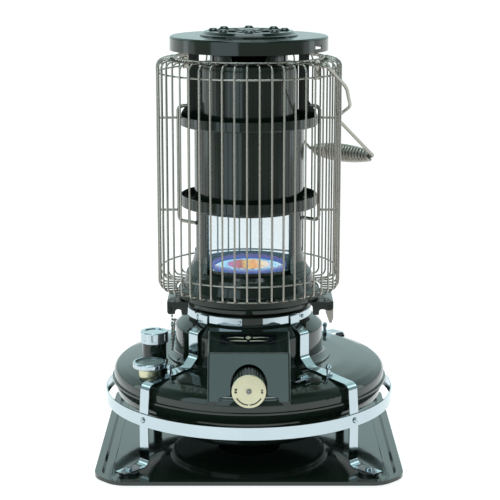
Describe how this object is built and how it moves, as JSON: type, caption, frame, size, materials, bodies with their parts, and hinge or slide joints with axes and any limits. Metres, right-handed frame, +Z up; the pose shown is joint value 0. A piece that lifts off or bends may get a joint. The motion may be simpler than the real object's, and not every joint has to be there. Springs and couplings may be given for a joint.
{
  "type": "kerosene heater",
  "caption": "Round wick kerosene heater with a tilting chimney in a wire cage, a bail handle, a wick knob, and a tank on strap legs in a drip tray.",
  "frame": {"origin": "middle of the tray's underside", "axes": "+Z up, front with the knob towards -Y, +X to the viewer's right when facing the front"},
  "size_m": [0.388, 0.405, 0.55],
  "materials": {
    "black_enamel": "gloss black stove enamel with a faint green cast",
    "black_chimney": "semi-gloss heat-proof black enamel",
    "chrome": "bright chrome plate",
    "steel_wire": "bright nickelled wire",
    "pale_brass": "satin pale brass",
    "burner_steel": "plain steel, heat tinted",
    "gear_brass": "machined brass",
    "wick_cloth": "woven glass and cotton",
    "mica": "clear heat-proof window",
    "lens": "grey-green clear lens",
    "dial": "pale grey-green dial",
    "float_cork": "sealed float",
    "signal_red": "red pointer",
    "badge_black": "gloss black plate"
  },
  "bodies": {
    "base": {"drip_tray": "black_enamel", "tank_top_shell": "black_enamel", "tank_bottom_shell": "black_enamel", "guard_ring": "chrome", "front_leg_straps": "chrome", "rear_leg_straps": "chrome", "case_screws": "chrome", "strap_clamps": "chrome", "neck_shell": "black_enamel", "neck_band": "chrome", "control_box": "black_enamel", "badge_plate": "badge_black", "box_bracket": "chrome", "burner_drum": "burner_steel", "shaft_bushing": "gear_brass", "outer_wick_tube": "burner_steel", "inner_wick_tube": "burner_steel", "burner_ring": "black_chimney", "flame_spreader": "burner_steel", "filler_neck": "black_enamel", "gauge_base": "pale_brass", "gauge_bezel": "chrome", "gauge_dial": "dial", "gauge_lens": "lens", "hinge_bracket": "black_enamel", "hinge_pin": "steel_wire", "chain_anchor": "chrome"},
    "wick_set": {"wick": "wick_cloth", "wick_carrier": "gear_brass"},
    "knob": {"knob_shaft": "burner_steel", "knob_grip": "black_enamel", "knob_plate": "pale_brass", "knob_screw": "pale_brass"},
    "cap": {"filler_cap": "chrome"},
    "float": {"float_arm": "float_cork"},
    "pointer": {"gauge_pointer": "signal_red"},
    "chimney": {"chimney_base": "black_chimney", "hinge_leaf": "black_chimney", "left_bracket": "black_chimney", "right_bracket": "black_chimney", "window_frame": "black_chimney", "mica_window": "mica", "lower_flange": "black_chimney", "chimney_barrel": "black_chimney", "upper_flange": "black_chimney", "upper_barrel": "black_chimney", "inner_chimney": "burner_steel", "plate_supports": "black_chimney", "top_plate": "black_chimney", "top_rosette": "black_chimney", "cage_wires": "steel_wire", "cage_rings": "steel_wire", "u_frames": "steel_wire", "flange_clips": "steel_wire", "handle_eyes": "steel_wire"},
    "handle": {"bail_wire": "steel_wire", "grip_coil": "steel_wire"},
    "latch": {"latch_lever": "steel_wire"},
    "chain_top": {"chain_upper": "steel_wire"},
    "chain_bottom": {"chain_lower": "steel_wire"}
  },
  "joints": [
    {"name": "chimney_tilt", "type": "hinge", "parent": "base", "child": "chimney", "pos_m": [0, 0.1, 0.185], "axis": [-1, 0, 0], "range_deg": [0, 35]},
    {"name": "handle_swing", "type": "hinge", "parent": "chimney", "child": "handle", "pos_m": [0, 0, 0.51], "axis": [0.739, -0.6737, 0], "range_deg": [0, 253]},
    {"name": "knob_turn", "type": "hinge", "parent": "base", "child": "knob", "pos_m": [0, -0.15, 0.1195], "axis": [0, -1, 0], "range_deg": [0, 150]},
    {"name": "wick_lift", "type": "slide", "parent": "base", "child": "wick_set", "axis": [0, 0, 1], "range_m": [-0.0185, 0]},
    {"name": "filler_cap_lift", "type": "slide", "parent": "base", "child": "cap", "axis": [0, 0, 1], "range_m": [0, 0.02]},
    {"name": "float_swing", "type": "hinge", "parent": "base", "child": "float", "pos_m": [-0.1278, -0.087, 0.084], "axis": [1, 0, 0], "range_deg": [0, 28]},
    {"name": "pointer_turn", "type": "hinge", "parent": "base", "child": "pointer", "pos_m": [-0.1278, -0.087, 0.124], "axis": [0, 0, 1], "range_deg": [0, 86]},
    {"name": "latch_swing", "type": "hinge", "parent": "chimney", "child": "latch", "pos_m": [0.1065, -0.0375, 0.189], "axis": [0, -1, 0], "range_deg": [0, 60]},
    {"name": "chain_top_swing", "type": "hinge", "parent": "chimney", "child": "chain_top", "pos_m": [-0.1012, -0.0363, 0.181], "axis": [1, 0, 0], "range_deg": [0, 25.5]},
    {"name": "chain_bottom_swing", "type": "hinge", "parent": "base", "child": "chain_bottom", "pos_m": [-0.1012, 0.038, 0.152], "axis": [-1, 0, 0], "range_deg": [0, 62.3]}
  ],
  "couplings": [
    {"joint": "wick_lift", "follows": "knob_turn", "m_per_rad": -0.006876},
    {"joint": "pointer_turn", "follows": "float_swing", "ratio": 3},
    {"joint": "chain_top_swing", "follows": "chimney_tilt", "ratio": 0.714},
    {"joint": "chain_bottom_swing", "follows": "chimney_tilt", "ratio": 1.766}
  ]
}
